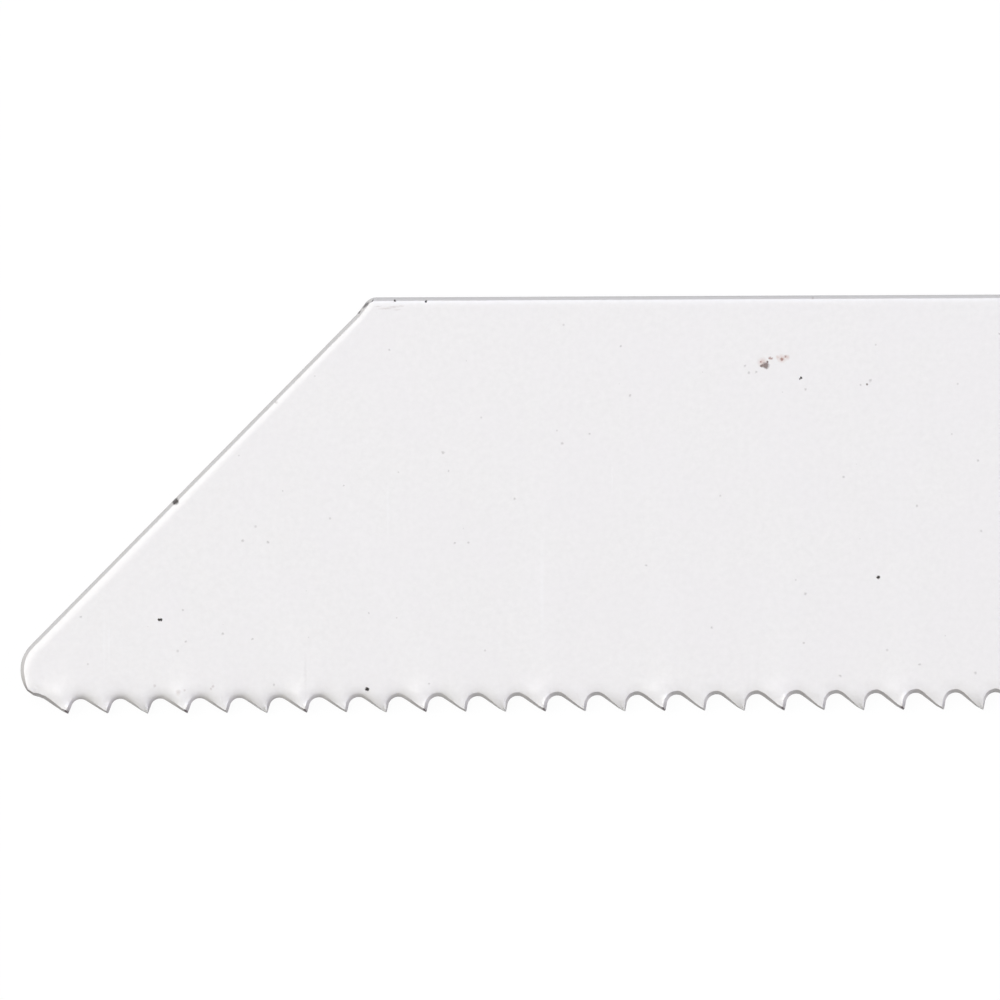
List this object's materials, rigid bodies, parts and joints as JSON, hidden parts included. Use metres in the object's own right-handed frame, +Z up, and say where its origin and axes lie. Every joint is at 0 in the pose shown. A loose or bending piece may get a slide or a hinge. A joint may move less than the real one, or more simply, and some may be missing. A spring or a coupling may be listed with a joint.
{
  "type": "reciprocating saw blade",
  "caption": "Flat white-enamelled saw blade for metal with a slanted nose, fine milled teeth set to both sides and a stepped tang with a pin hole.",
  "frame": {"origin": "below the middle of the blade's length and width, in the plane that the lowest set tooth tips touch when the blade lies flat", "axes": "+X along the blade from the nose to the end of the tang, +Y from the teeth to the back, +Z up through the thickness"},
  "size_m": [0.15, 0.019, 0.0012],
  "materials": {
    "white_enamel": "half-glossy white enamel on steel, with small chips and rust specks"
  },
  "bodies": {
    "root": {"blade": "white_enamel"}
  },
  "joints": []
}
